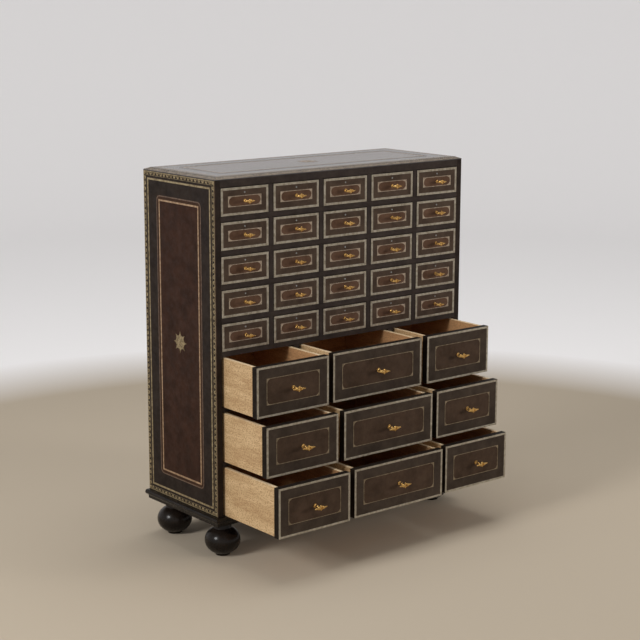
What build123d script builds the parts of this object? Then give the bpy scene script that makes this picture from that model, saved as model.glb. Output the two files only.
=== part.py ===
from build123d import *
from math import acos, degrees, radians, sin
import os

# Apothecary chest: a leather-covered carcass on four ball feet, with five rows of five small drawers
# above three rows of three large drawers. Millimetres, +Z up, the drawers open towards -Y.
# The origin is on the floor, under the middle of the chest with its drawers drawn out as at rest.

# Carcass
case_width = 914
case_depth = 346
side_thickness = 19
top_board_thickness = 21
base_board_thickness = 27.5
back_thickness = 8
back_rabbet = 9
housing_depth = 6
glue_gap = 0.1

# Bevelled cap
cap_edge = 1.5
cap_bevel_rise = 6.5
cap_bevel_run = 16

# Small drawers and the shelves and dividers between them
small_columns = 5
small_rows = 5
small_front_height = 76
small_shelf_thickness = 15
small_divider_thickness = 15

# Large drawers and the shelves and dividers between them
large_rows = 3
large_outer_bay_width = 250
large_front_height = 140.5
middle_shelf_thickness = 15
large_shelf_thickness = 13.5
large_divider_thickness = 21

# How far each large drawer is drawn out at rest, by row from the top and by column from the left
large_open = [
    [157, 149, 149],
    [199, 198, 193],
    [251, 244, 234],
]

# Running clearances of a drawer in its bay
seat_clearance = 0.4
head_clearance = 1.6
small_side_clearance = 1.5
large_side_clearance = 0.5
stop_clearance = 5

# Drawer boards
small_front_thickness = 18
large_front_thickness = 20
front_edge_chamfer = 0.8
small_box_inset = 1
large_box_inset = 6
box_top_drop = 1
small_wall_thickness = 7
large_wall_thickness = 10
back_board_drop = 6
bottom_thickness = 5
bottom_rise = 3
groove_depth = 4
groove_clearance = 0.15

# Strips on the floor of each large bay that guide the sides of its drawer
guide_height = 12
guide_clearance = 0.8
guide_end_gap = 2

# Pulls: a post with a rosette foot carries a turned bar with a boss at its middle
small_bar_length = 35
small_bar_radius = 2.3
small_boss_radius = 5.6
small_boss_thickness = 6
small_standoff = 23
large_bar_length = 45
large_bar_radius = 2.9
large_boss_radius = 6.8
large_boss_thickness = 7
large_standoff = 26
tip_radius = 0.6
bead_offset = 3.4
bead_radius = 0.9
rosette_radius = 4.6
rosette_thickness = 2.2
post_radius = 2.3
post_fit = 0.05
pull_screw_radius = 1.4
pull_screw_hole_fit = 0.4
pull_screw_head_radius = 3.6
pull_screw_head_thickness = 2
pull_screw_bite = 9
thread_fit = 0.05

# Small round stud below the top edge of each small front
stud_drop = 15
stud_head_radius = 2.2
stud_head_rise = 1
stud_pin_radius = 0.8
stud_pin_length = 7
stud_fit = 0.1

# Plinth moulding: a round nose over a cove, mitred round the front and the sides
plinth_height = 27.4
plinth_nose_radius = 7
plinth_nose_seat = 8
plinth_foot_width = 3
plinth_foot_height = 3
cove_depth = 1.6

# Ball feet, each with a tenon in the base board
foot_height = 104
foot_inset = 52.5
ball_radius = 51
ball_half_height = 42
ball_centre_height = 43.5
foot_pad_radius = 21
foot_neck_radius = 26
tenon_radius = 12.5
tenon_length = 22
tenon_fit = 0.1
tenon_end_gap = 1

# Screws through the back panel
back_screw_columns = 4
back_screw_margin = 60
back_screw_radius = 1.75
back_screw_head_radius = 3.5
back_screw_head_depth = 2.2
back_screw_length = 26

# Levels, from the floor up
base_bottom = foot_height
base_top = base_bottom + base_board_thickness
large_bay_height = large_front_height + seat_clearance + head_clearance
large_pitch = large_bay_height + large_shelf_thickness
large_top = base_top + large_rows * large_pitch - large_shelf_thickness
small_floor = large_top + middle_shelf_thickness
small_bay_height = small_front_height + seat_clearance + head_clearance
small_pitch = small_bay_height + small_shelf_thickness
small_top = small_floor + small_rows * small_pitch - small_shelf_thickness
side_top = small_top + top_board_thickness
cap_top = side_top + cap_edge + cap_bevel_rise

# Places across the width
inner_width = case_width - 2 * side_thickness
inner_left = -inner_width / 2
small_bay_width = (inner_width - (small_columns - 1) * small_divider_thickness) / small_columns
large_middle_bay_width = inner_width - 2 * large_outer_bay_width - 2 * large_divider_thickness
large_bay_widths = [large_outer_bay_width, large_middle_bay_width, large_outer_bay_width]

# Places along the depth: the middle of the whole chest, drawers and pulls included, is at Y = 0
large_pull_projection = large_standoff + large_boss_thickness / 2
furthest_open = max(max(row) for row in large_open)
case_front = (furthest_open + large_pull_projection - case_depth) / 2
case_back = case_front + case_depth
back_face = case_back - back_thickness
drawer_length = case_depth - back_thickness - stop_clearance


def board(x0, x1, y0, y1, z0, z1):
    """A flat board between two opposite corners."""
    return Pos((x0 + x1) / 2, (y0 + y1) / 2, (z0 + z1) / 2) * Box(x1 - x0, y1 - y0, z1 - z0)


def rod(radius, y0, y1):
    """A round bar along Y on the axis X = 0, Z = 0."""
    return Pos(0, (y0 + y1) / 2, 0) * Rot(90, 0, 0) * Cylinder(radius, y1 - y0)


def save(node, *shapes):
    """Write one node as the separate solids of its shapes."""
    solids = []
    for shape in shapes:
        solids.extend(shape.solids())
    export_step(Compound(children=solids), "parts/" + node + ".step")


def small_bay_floor(row):
    return small_floor + (small_rows - row) * small_pitch


def small_bay_left(column):
    return inner_left + (column - 1) * (small_bay_width + small_divider_thickness)


def large_bay_floor(row):
    return base_top + (large_rows - row) * large_pitch


def large_bay_left(column):
    return inner_left + sum(large_bay_widths[:column - 1]) + (column - 1) * large_divider_thickness


# Carcass boards
def side_housings():
    """Bottom and top level of each board that is housed in the sides."""
    levels = [(base_bottom, base_top), (large_top, small_floor), (small_top, side_top)]
    for row in range(1, large_rows):
        levels.append((large_bay_floor(row) - large_shelf_thickness, large_bay_floor(row)))
    for row in range(1, small_rows):
        levels.append((small_bay_floor(row) - small_shelf_thickness, small_bay_floor(row)))
    return levels


def case_side(sign):
    """One side board, sign -1 on the left and 1 on the right."""
    outer = sign * case_width / 2
    inner = sign * inner_width / 2
    side = board(min(outer, inner), max(outer, inner), case_front, case_back, base_bottom, side_top)
    housing = sign * (inner_width / 2 + housing_depth)
    for low, high in side_housings():
        side -= board(min(inner, housing), max(inner, housing), case_front, back_face, low, high)
    rabbet = sign * (inner_width / 2 + back_rabbet)
    side -= board(min(inner, rabbet), max(inner, rabbet), back_face, case_back, base_bottom, side_top)
    return side


def shelf(low, high):
    """A full-width board whose ends sit in the housings of both sides."""
    half = inner_width / 2 + housing_depth - glue_gap
    return board(-half, half, case_front, back_face, low, high)


def back_screw_points():
    """X and Z of each screw through the back panel."""
    points = []
    span = inner_width - 2 * back_screw_margin
    spacing = span / (back_screw_columns - 1)
    for low, high in [(base_bottom, base_top), (large_top, small_floor), (small_top, side_top)]:
        for index in range(back_screw_columns):
            points.append((-span / 2 + index * spacing, (low + high) / 2))
    return points


def back_screw():
    """A countersunk screw along Y, its head flush with Y = 0 and its point towards -Y."""
    head = Pos(0, -back_screw_head_depth / 2, 0) * Rot(-90, 0, 0) * Cone(
        back_screw_radius, back_screw_head_radius, back_screw_head_depth
    )
    return head + rod(back_screw_radius, -back_screw_length, -back_screw_head_depth / 2)


def back_screw_bore():
    """The countersunk hole that the screw fills, a little larger all round."""
    cut = Pos(0, -back_screw_head_depth / 2, 0) * Rot(-90, 0, 0) * Cone(
        back_screw_radius + thread_fit, back_screw_head_radius + thread_fit, back_screw_head_depth
    )
    return cut + rod(back_screw_radius + thread_fit, -back_screw_length - thread_fit, 0)


def bored_for_back(piece):
    """Cut every back screw's hole out of a board."""
    for x, z in back_screw_points():
        piece -= Pos(x, case_back, z) * back_screw_bore()
    return piece


def foot_places():
    """Name and centre of each foot."""
    x = case_width / 2 - foot_inset
    places = {
        "foot_front_left": (-x, case_front + foot_inset),
        "foot_front_right": (x, case_front + foot_inset),
        "foot_back_left": (-x, case_back - foot_inset),
        "foot_back_right": (x, case_back - foot_inset),
    }
    return places


def base_board():
    """The bottom board, bored for the tenons of the feet."""
    piece = shelf(base_bottom, base_top)
    depth = tenon_length + tenon_end_gap
    for x, y in foot_places().values():
        piece -= Pos(x, y, base_bottom + depth / 2) * Cylinder(tenon_radius + tenon_fit, depth)
    return bored_for_back(piece)


def cap():
    """The leather-covered cap with a shallow bevel all round."""
    middle = (case_front + case_back) / 2
    half = case_width / 2
    edge = board(-half, half, case_front, case_back, side_top, side_top + cap_edge)
    lower = Pos(0, middle, side_top + cap_edge) * Rectangle(case_width, case_depth)
    top_width = case_width - 2 * cap_bevel_run
    top_depth = case_depth - 2 * cap_bevel_run
    upper = Pos(0, middle, cap_top) * Rectangle(top_width, top_depth)
    return edge + loft([lower, upper])


save("case_side_left", case_side(-1))
save("case_side_right", case_side(1))
save("case_top_board", bored_for_back(shelf(small_top, side_top)))
save("case_base_board", base_board())
save("case_cap", cap())
save("middle_shelf", bored_for_back(shelf(large_top, small_floor)))

back_half = inner_width / 2 + back_rabbet - glue_gap
back_panel = board(-back_half, back_half, back_face, case_back, base_bottom, side_top)
save("case_back_panel", bored_for_back(back_panel))
save("case_back_screws", *[Pos(x, case_back, z) * back_screw() for x, z in back_screw_points()])

# Shelves and dividers
small_shelves = []
for row in range(1, small_rows):
    small_shelves.append(shelf(small_bay_floor(row) - small_shelf_thickness, small_bay_floor(row)))
save("small_drawer_shelves", *small_shelves)

large_shelves = []
for row in range(1, large_rows):
    large_shelves.append(shelf(large_bay_floor(row) - large_shelf_thickness, large_bay_floor(row)))
save("large_drawer_shelves", *large_shelves)

small_dividers = []
for row in range(1, small_rows + 1):
    for column in range(1, small_columns):
        left = small_bay_left(column) + small_bay_width
        right = left + small_divider_thickness
        floor = small_bay_floor(row)
        ceiling = floor + small_bay_height
        small_dividers.append(board(left, right, case_front, back_face, floor, ceiling))
save("small_drawer_dividers", *small_dividers)

large_dividers = []
for row in range(1, large_rows + 1):
    for column in (1, 2):
        left = large_bay_left(column) + large_bay_widths[column - 1]
        right = left + large_divider_thickness
        floor = large_bay_floor(row)
        ceiling = floor + large_bay_height
        large_dividers.append(board(left, right, case_front, back_face, floor, ceiling))

large_guides = []
guide_width = large_side_clearance + large_box_inset - guide_clearance
guide_front = case_front + large_front_thickness + guide_end_gap
for row in range(1, large_rows + 1):
    floor = large_bay_floor(row)
    for column, bay_width in enumerate(large_bay_widths, start=1):
        left = large_bay_left(column)
        for x in (left, left + bay_width - guide_width):
            guide = board(x, x + guide_width, guide_front, back_face, floor, floor + guide_height)
            large_guides.append(guide)
save("large_drawer_dividers", *large_dividers, *large_guides)


# Plinth moulding
def plinth_profile():
    """Section of the moulding, drawn outwards along X and up from its lower edge."""
    nose_low = plinth_height - 2 * plinth_nose_radius
    nose_middle = plinth_height - plinth_nose_radius
    nose_out = plinth_nose_seat + plinth_nose_radius
    cove_middle = (
        (plinth_foot_width + plinth_nose_seat) / 2 - cove_depth,
        (plinth_foot_height + nose_low) / 2,
    )
    with BuildSketch() as section:
        with BuildLine():
            Line((plinth_nose_seat, plinth_height), (0, plinth_height))
            Line((0, plinth_height), (0, 0))
            Line((0, 0), (plinth_foot_width, 0))
            Line((plinth_foot_width, 0), (plinth_foot_width, plinth_foot_height))
            ThreePointArc(
                (plinth_foot_width, plinth_foot_height), cove_middle, (plinth_nose_seat, nose_low)
            )
            ThreePointArc(
                (plinth_nose_seat, nose_low), (nose_out, nose_middle), (plinth_nose_seat, plinth_height)
            )
        make_face()
    return section.sketch


def plinth_length(run, mitre_start, mitre_end):
    """A straight length of moulding along +Y, its back on X = 0, with 45 degree mitres where asked."""
    reach = plinth_nose_seat + plinth_nose_radius
    stock = extrude(Plane.XZ * plinth_profile(), amount=-(run + 2 * reach))
    stock = Pos(0, -reach, 0) * stock
    size = 4 * reach
    start_turn = 45 if mitre_start else 0
    end_turn = -45 if mitre_end else 0
    cutter = Box(size, size, size * 2, align=(Align.CENTER, Align.MAX, Align.CENTER))
    stock -= Rot(0, 0, -start_turn) * cutter
    stock -= Pos(0, run, 0) * Rot(0, 0, 180 - end_turn) * cutter
    return stock


half_width = case_width / 2
plinth_right = Pos(half_width, case_front, base_bottom) * plinth_length(case_depth, True, False)
plinth_left = mirror(plinth_right, about=Plane.YZ)
plinth_front = Rot(0, 0, -90) * plinth_length(case_width, True, True)
plinth_front = Pos(-half_width, case_front, base_bottom) * plinth_front
save("plinth_moulding", plinth_front, plinth_left, plinth_right)


# Ball feet
def foot():
    """A turned foot with its tenon, standing on Z = 0."""
    low_angle = -degrees(acos(foot_pad_radius / ball_radius))
    high_angle = degrees(acos(foot_neck_radius / ball_radius))
    pad_top = ball_centre_height + ball_half_height * sin(radians(low_angle))
    ball_top = ball_centre_height + ball_half_height * sin(radians(high_angle))
    tenon_top = foot_height + tenon_length
    with BuildSketch(Plane.XZ) as section:
        with BuildLine():
            Line((0, 0), (foot_pad_radius, 0))
            Line((foot_pad_radius, 0), (foot_pad_radius, pad_top))
            EllipticalCenterArc(
                (0, ball_centre_height), ball_radius, ball_half_height,
                start_angle=low_angle, arc_size=high_angle - low_angle,
            )
            Line((foot_neck_radius, ball_top), (foot_neck_radius, foot_height))
            Line((foot_neck_radius, foot_height), (tenon_radius, foot_height))
            Line((tenon_radius, foot_height), (tenon_radius, tenon_top))
            Line((tenon_radius, tenon_top), (0, tenon_top))
            Line((0, tenon_top), (0, 0))
        make_face()
    return revolve(section.sketch, axis=Axis.Z)


turned_foot = foot()
for name, place in foot_places().items():
    save(name, Pos(place[0], place[1], 0) * turned_foot)


# Pulls, with the front face of the drawer at Y = 0 and the pull's axis along Y
def pull_bar(length, radius, boss_radius, boss_thickness, standoff):
    """The turned bar with its boss, bored at the back for the post."""
    half = length / 2
    bead = half - bead_offset
    waist = radius - bead_radius
    with BuildSketch() as section:
        with BuildLine():
            Line((-half, 0), (-half, tip_radius))
            Line((-half, tip_radius), (-bead - bead_radius, waist))
            ThreePointArc((-bead - bead_radius, waist), (-bead, radius), (-bead + bead_radius, waist))
            Line((-bead + bead_radius, waist), (-boss_radius, radius))
            Line((-boss_radius, radius), (boss_radius, radius))
            Line((boss_radius, radius), (bead - bead_radius, waist))
            ThreePointArc((bead - bead_radius, waist), (bead, radius), (bead + bead_radius, waist))
            Line((bead + bead_radius, waist), (half, tip_radius))
            Line((half, tip_radius), (half, 0))
            Line((half, 0), (-half, 0))
        make_face()
    spindle = revolve(section.sketch, axis=Axis.X)
    boss = rod(boss_radius, -boss_thickness / 2, boss_thickness / 2)
    boss = fillet(boss.edges().filter_by(GeomType.CIRCLE), boss_thickness / 4)
    bar = spindle + boss
    bar -= rod(post_radius + post_fit, 0, boss_thickness)
    return Pos(0, -standoff, 0) * bar


def pull_post(standoff):
    """The post with its rosette foot on the drawer front, bored for the screw."""
    post = rod(post_radius, -standoff + post_fit, 0)
    rosette = rod(rosette_radius, -rosette_thickness, 0)
    rim = rosette.edges().filter_by(GeomType.CIRCLE).sort_by(Axis.Y)[0]
    rosette = fillet(rim, rosette_thickness / 2)
    return post + rosette - rod(pull_screw_radius + thread_fit, -pull_screw_bite - thread_fit, 0)


def pull_screw(front_thickness):
    """The screw from inside the drawer, through the front and into the post."""
    head = rod(pull_screw_head_radius, front_thickness, front_thickness + pull_screw_head_thickness)
    return head + rod(pull_screw_radius, -pull_screw_bite, front_thickness)


def pull(length, radius, boss_radius, boss_thickness, standoff, front_thickness, height):
    """Every piece of one pull, at the middle of a front of this height."""
    pieces = [
        pull_post(standoff),
        pull_bar(length, radius, boss_radius, boss_thickness, standoff),
        pull_screw(front_thickness),
    ]
    return [Pos(0, 0, height / 2) * piece for piece in pieces]


# Drawer boards, with the front face at Y = 0 and the lower edge at Z = 0
def drawer_box(width, height, front_thickness, wall, inset):
    """Front, two sides, back and bottom of one drawer."""
    half = width / 2
    outer = half - inset
    inner = outer - wall
    wall_top = height - box_top_drop
    bottom_top = bottom_rise + bottom_thickness
    groove_low = bottom_rise - groove_clearance
    groove_high = bottom_top + groove_clearance

    front = board(-half, half, 0, front_thickness, 0, height)
    front = chamfer(front.faces().sort_by(Axis.Y)[0].edges(), front_edge_chamfer)
    hole = pull_screw_radius + pull_screw_hole_fit
    front -= Pos(0, 0, height / 2) * rod(hole, 0, front_thickness)
    front -= board(
        -inner - groove_depth, inner + groove_depth,
        front_thickness - groove_depth, front_thickness, groove_low, groove_high,
    )

    left = board(-outer, -inner, front_thickness, drawer_length, 0, wall_top)
    groove = -inner - groove_depth
    left -= board(groove, -inner, front_thickness, drawer_length, groove_low, groove_high)
    right = mirror(left, about=Plane.YZ)

    back_top = wall_top - back_board_drop
    back = board(-inner, inner, drawer_length - wall, drawer_length, bottom_top, back_top)
    reach = inner + groove_depth - groove_clearance
    bottom_front = front_thickness - groove_depth + groove_clearance
    bottom = board(-reach, reach, bottom_front, drawer_length, bottom_rise, bottom_top)
    return [front, left, right, back, bottom]


def stud(height):
    """The round stud on a small front, with its pin in the board."""
    dome_radius = (stud_head_radius ** 2 + stud_head_rise ** 2) / (2 * stud_head_rise)
    dome = Pos(0, dome_radius - stud_head_rise, 0) * Sphere(dome_radius)
    size = 4 * dome_radius
    dome -= Pos(0, size / 2, 0) * Box(size, size, size)
    pin = rod(stud_pin_radius, -stud_head_rise / 2, stud_pin_length)
    return Pos(0, 0, height - stud_drop) * (dome + pin)


def stud_hole(height):
    """The hole in the front board for the stud's pin."""
    hole = rod(stud_pin_radius + stud_fit, 0, stud_pin_length + stud_fit)
    return Pos(0, 0, height - stud_drop) * hole


# Small drawers, closed at rest, each with its pull and stud
small_front_width = small_bay_width - 2 * small_side_clearance
small_boards = drawer_box(
    small_front_width, small_front_height, small_front_thickness, small_wall_thickness, small_box_inset
)
small_boards[0] -= stud_hole(small_front_height)
small_pull = pull(
    small_bar_length, small_bar_radius, small_boss_radius, small_boss_thickness, small_standoff,
    small_front_thickness, small_front_height,
)
small_drawer = small_boards + small_pull + [stud(small_front_height)]
for row in range(1, small_rows + 1):
    for column in range(1, small_columns + 1):
        x = small_bay_left(column) + small_bay_width / 2
        place = Pos(x, case_front, small_bay_floor(row) + seat_clearance)
        save(f"small_drawer_r{row}c{column}", *[place * piece for piece in small_drawer])

# Large drawers, drawn out at rest, with their pulls as separate nodes
large_pull = pull(
    large_bar_length, large_bar_radius, large_boss_radius, large_boss_thickness, large_standoff,
    large_front_thickness, large_front_height,
)
for column, bay_width in enumerate(large_bay_widths, start=1):
    width = bay_width - 2 * large_side_clearance
    boards = drawer_box(
        width, large_front_height, large_front_thickness, large_wall_thickness, large_box_inset
    )
    for row in range(1, large_rows + 1):
        x = large_bay_left(column) + bay_width / 2
        y = case_front - large_open[row - 1][column - 1]
        place = Pos(x, y, large_bay_floor(row) + seat_clearance)
        save(f"large_drawer_r{row}c{column}", *[place * piece for piece in boards])
        save(f"large_pull_r{row}c{column}", *[place * piece for piece in large_pull])

print("case front at Y", round(case_front, 2), "back at Y", round(case_back, 2))
print("chest height", cap_top, "small front", round(small_front_width, 2), "by", small_front_height)
middle_front_width = large_middle_bay_width - 2 * large_side_clearance
print("middle large front", middle_front_width, "by", large_front_height)
print("drawer length", drawer_length)
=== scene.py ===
import math
import random

import bmesh
import bpy
from mathutils import Matrix, Vector


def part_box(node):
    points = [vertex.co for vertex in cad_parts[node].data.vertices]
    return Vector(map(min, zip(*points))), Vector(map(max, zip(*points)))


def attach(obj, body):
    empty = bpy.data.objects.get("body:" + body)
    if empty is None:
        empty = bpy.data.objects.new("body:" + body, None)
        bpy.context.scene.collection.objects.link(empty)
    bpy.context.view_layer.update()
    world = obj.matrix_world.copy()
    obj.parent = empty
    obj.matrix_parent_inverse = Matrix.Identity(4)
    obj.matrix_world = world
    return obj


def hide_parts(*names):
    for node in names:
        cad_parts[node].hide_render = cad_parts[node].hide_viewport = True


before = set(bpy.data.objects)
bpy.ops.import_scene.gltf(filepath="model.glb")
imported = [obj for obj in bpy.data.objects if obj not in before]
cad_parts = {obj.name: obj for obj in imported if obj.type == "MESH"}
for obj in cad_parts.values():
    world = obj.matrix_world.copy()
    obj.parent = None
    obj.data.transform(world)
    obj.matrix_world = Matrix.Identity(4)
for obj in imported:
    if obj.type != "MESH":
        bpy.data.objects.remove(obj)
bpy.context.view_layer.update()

# Apothecary chest: leather-covered case and drawers with gold and silver tooling, brass pulls,
# a black plinth and ball feet. Lengths are in metres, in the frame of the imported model.

mm = 0.001
deg = math.radians(1)


# Nodes, for materials and for Geometry Nodes alike

def put(tree, kind, sockets=None, **settings):
    # one node: sockets holds values, or other nodes' outputs to link from
    node = tree.nodes.new(kind)
    for name, value in settings.items():
        setattr(node, name, value)
    for name, value in (sockets or {}).items():
        if isinstance(value, bpy.types.NodeSocket):
            tree.links.new(value, node.inputs[name])
        else:
            node.inputs[name].default_value = value
    return node


def calc(tree, operation, first, second=0.0, third=0.0):
    return put(tree, 'ShaderNodeMath', {0: first, 1: second, 2: third}, operation=operation).outputs[0]


def noise(tree, vector, size, detail=3.0, roughness=0.55):
    # size is the width of one blotch
    sockets = {'Vector': vector, 'Scale': 1 / size, 'Detail': detail, 'Roughness': roughness}
    return put(tree, 'ShaderNodeTexNoise', sockets).outputs['Fac']


def spread(tree, value, low, high, fromLow=0.35, fromHigh=0.65):
    # a noise value stretched to a range
    sockets = {'Value': value, 'From Min': fromLow, 'From Max': fromHigh, 'To Min': low, 'To Max': high}
    return put(tree, 'ShaderNodeMapRange', sockets).outputs['Result']


def mix(tree, amount, first, second, blend='MIX'):
    node = put(tree, 'ShaderNodeMix', data_type='RGBA', blend_type=blend)
    for index, value in ((0, amount), (6, first), (7, second)):
        if isinstance(value, bpy.types.NodeSocket):
            tree.links.new(value, node.inputs[index])
        else:
            node.inputs[index].default_value = value
    return node.outputs[2]


def srgb(red, green, blue):
    # a colour as it is read off a picture, 0 to 255
    def linear(value):
        value = value / 255
        return value / 12.92 if value <= 0.04045 else ((value + 0.055) / 1.055) ** 2.4
    return (linear(red), linear(green), linear(blue), 1.0)


def newMaterial(name, **fixed):
    # an empty material with its shader; fixed values go straight on the shader's sockets
    material = bpy.data.materials.new(name)
    material.use_nodes = True
    tree = material.node_tree
    tree.nodes.clear()
    shader = put(tree, 'ShaderNodeBsdfPrincipled')
    put(tree, 'ShaderNodeOutputMaterial', {'Surface': shader.outputs[0]})
    for socket, value in fixed.items():
        shader.inputs[socket.replace('_', ' ')].default_value = value
    place = put(tree, 'ShaderNodeTexCoord').outputs['Object']
    return material, tree, shader, place


def bump(tree, shader, height, depth, strength=1.0):
    # depth is how high the relief stands
    normal = put(tree, 'ShaderNodeBump', {'Height': height, 'Distance': depth, 'Strength': strength})
    tree.links.new(normal.outputs[0], shader.inputs['Normal'])


# Finishes

polish = {'Coat Roughness': 0.24, 'Coat IOR': 1.8}    # of a coat over leather or leaf

leatherGrain = {
    'blotch': 42 * mm,        # cloudy colour of the hide
    'blotchAmount': 0.75,
    'fleck': 5 * mm,
    'fleckAmount': 0.35,
    'pebble': 1.9 * mm,       # the grain itself
    'pebbleDepth': 0.10 * mm,
    'crease': 16 * mm,
    'creaseDepth': 1.4,       # in depths of the grain
    'rough': (0.52, 0.72),
}


def leather(name, deep, pale, gloss=0.12, coat=0.0, grain=leatherGrain):
    # gloss is the specular level, coat a polish over the grain
    fixed = {'Specular IOR Level': gloss, 'Coat Weight': coat, **polish}
    material, tree, shader, place = newMaterial(name, **fixed)
    cloud = noise(tree, place, grain['blotch'], 4, 0.62)
    fleck = noise(tree, place, grain['fleck'], 2)
    clouded = spread(tree, cloud, 0.0, grain['blotchAmount'])
    amount = calc(tree, 'MULTIPLY_ADD', fleck, grain['fleckAmount'], clouded)
    colour = mix(tree, amount, deep, pale)
    tree.links.new(colour, shader.inputs['Base Color'])
    rough = spread(tree, noise(tree, place, grain['crease'], 3), *grain['rough'])
    tree.links.new(rough, shader.inputs['Roughness'])
    pebble = put(tree, 'ShaderNodeTexVoronoi', {'Vector': place, 'Scale': 1 / grain['pebble']})
    crease = noise(tree, place, grain['crease'], 6, 0.7)
    height = calc(tree, 'MULTIPLY_ADD', crease, grain['creaseDepth'], pebble.outputs['Distance'])
    bump(tree, shader, height, grain['pebbleDepth'])
    return material


foilWear = {
    'patch': 9 * mm,          # where the leaf is thinner
    'patchAmount': (-0.15, 0.7),
    'roughSpan': (-0.08, 0.16),
    'speck': 1.6 * mm,
    'speckAmount': 0.45,
    'speckDepth': 0.08 * mm,
}


def foil(name, bright, rubbed, metal=0.3, rough=0.42, coat=0.0, wear=foilWear):
    # tooled metal leaf, rubbed down to the leather in places
    fixed = {'Metallic': metal, 'Specular IOR Level': 0.3, 'Coat Weight': coat, **polish}
    material, tree, shader, place = newMaterial(name, **fixed)
    patch = noise(tree, place, wear['patch'], 3, 0.6)
    speck = noise(tree, place, wear['speck'], 1)
    thin = spread(tree, patch, *wear['patchAmount'])
    amount = calc(tree, 'MULTIPLY_ADD', speck, wear['speckAmount'], thin)
    tree.links.new(mix(tree, amount, bright, rubbed), shader.inputs['Base Color'])
    span = [rough + part for part in wear['roughSpan']]
    tree.links.new(spread(tree, patch, *span), shader.inputs['Roughness'])
    bump(tree, shader, speck, wear['speckDepth'])
    return material


woodGrain = {
    'across': 3.6 * mm,       # width of a grain line
    'stretch': 9,             # how much longer than wide it is
    'depth': 0.12 * mm,
    'darkness': (0.0, 0.35),
    'fleck': 3.4 * mm,
    'fleckStretch': 1.5,
    'fleckFrom': (0.48, 0.64),
    'ring': 26 * mm,
    'ringStretch': 5,
    'ringDarkness': (-0.1, 0.3),
    'roughSpan': (-0.07, 0.1),
}


def wood(name, pale, dark, along='Y', rough=0.55, flecks=0.75, grain=woodGrain):
    # along is the axis that the grain follows
    material, tree, shader, place = newMaterial(name, **{'Specular IOR Level': 0.3})

    def stretched(amount):
        scale = [1.0, 1.0, 1.0]
        scale['XYZ'.index(along)] = 1 / amount
        return put(tree, 'ShaderNodeMapping', {'Vector': place, 'Scale': scale}).outputs[0]

    lines = noise(tree, stretched(grain['stretch']), grain['across'], 4, 0.6)
    ring = noise(tree, stretched(grain['ringStretch']), grain['ring'], 2)
    fleck = noise(tree, stretched(grain['fleckStretch']), grain['fleck'], 2, 0.5)
    lined = spread(tree, lines, *grain['darkness'])
    amount = calc(tree, 'ADD', lined, spread(tree, ring, *grain['ringDarkness']))
    body = mix(tree, amount, pale, dark)
    spots = spread(tree, fleck, 0.0, flecks, *grain['fleckFrom'])
    tree.links.new(mix(tree, spots, body, dark), shader.inputs['Base Color'])
    span = [rough + part for part in grain['roughSpan']]
    tree.links.new(spread(tree, lines, *span), shader.inputs['Roughness'])
    bump(tree, shader, lines, grain['depth'])
    return material


brassFinish = {
    'bright': srgb(222, 184, 116),
    'dull': srgb(176, 132, 70),
    'blotch': 4 * mm,
    'rough': (0.2, 0.34),
    'pit': 1.4 * mm,
    'pitDepth': 0.02 * mm,
}

steelFinish = {
    'bright': srgb(176, 176, 174),
    'dull': srgb(128, 127, 122),
    'blotch': 3 * mm,
    'rough': (0.3, 0.45),
}


def bareMetal(name, finish):
    # tarnished in blotches, and pitted where the finish says so
    material, tree, shader, place = newMaterial(name, Metallic=1.0)
    cloud = noise(tree, place, finish['blotch'], 3)
    colour = mix(tree, spread(tree, cloud, 0.0, 1.0), finish['bright'], finish['dull'])
    tree.links.new(colour, shader.inputs['Base Color'])
    tree.links.new(spread(tree, cloud, *finish['rough']), shader.inputs['Roughness'])
    if 'pit' in finish:
        bump(tree, shader, noise(tree, place, finish['pit'], 2), finish['pitDepth'])
    return material


lacquerFinish = {
    'bright': srgb(34, 27, 22),
    'dull': srgb(20, 16, 13),
    'blotch': 30 * mm,
    'haze': 6 * mm,           # patches of duller polish
    'rough': (0.24, 0.36),
    'wave': 18 * mm,          # left by the brush
    'waveDepth': 0.25 * mm,
}


def lacquer(name, finish):
    # polished, with the faint waves of a brushed coat
    fixed = {'Specular IOR Level': 0.12, 'Coat Weight': 0.16, 'Coat Roughness': 0.08}
    material, tree, shader, place = newMaterial(name, **fixed)
    cloud = noise(tree, place, finish['blotch'], 4)
    colour = mix(tree, spread(tree, cloud, 0.0, 1.0), finish['dull'], finish['bright'])
    tree.links.new(colour, shader.inputs['Base Color'])
    haze = noise(tree, place, finish['haze'], 3)
    tree.links.new(spread(tree, haze, *finish['rough']), shader.inputs['Roughness'])
    bump(tree, shader, noise(tree, place, finish['wave'], 2), finish['waveDepth'])
    return material


borderLeather = leather('border_leather', srgb(32, 25, 21), srgb(50, 40, 34))
bandLeather = leather('band_leather', srgb(30, 23, 20), srgb(46, 37, 31))
innerBand = leather('inner_band', srgb(45, 30, 21), srgb(69, 47, 33))
fieldLeather = leather('field_leather', srgb(38, 22, 14), srgb(60, 38, 28))
wornLeather = leather('worn_leather', srgb(60, 46, 38), srgb(96, 76, 62))
railLeather = leather('rail_leather', srgb(45, 38, 35), srgb(64, 55, 50))
# The small fronts' leather is lighter than the large fronts' leather: painted light, for the extra
# reflected light the small fronts catch
frontLeatherLit = leather('front_leather_lit', srgb(60, 48, 39), srgb(83, 68, 57))
frontEdge = leather('front_edge', srgb(22, 16, 12), srgb(34, 26, 20), gloss=0.1)
smallInlay = leather('small_inlay', srgb(76, 54, 40), srgb(106, 80, 64))
largeLeather = leather('large_leather', srgb(50, 41, 34), srgb(70, 59, 50))
inlayLeather = leather('inlay_leather', srgb(55, 42, 32), srgb(78, 61, 49))
topLeather = leather('top_leather', srgb(44, 37, 34), srgb(66, 58, 53), gloss=0.5, coat=1.0)
topField = leather('top_field', srgb(52, 40, 35), srgb(76, 61, 54), gloss=0.5, coat=1.0)
goldLine = foil('gold_line', srgb(172, 155, 120), srgb(112, 96, 70))
tanLine = foil('tan_line', srgb(190, 160, 128), srgb(134, 105, 78))
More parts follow.
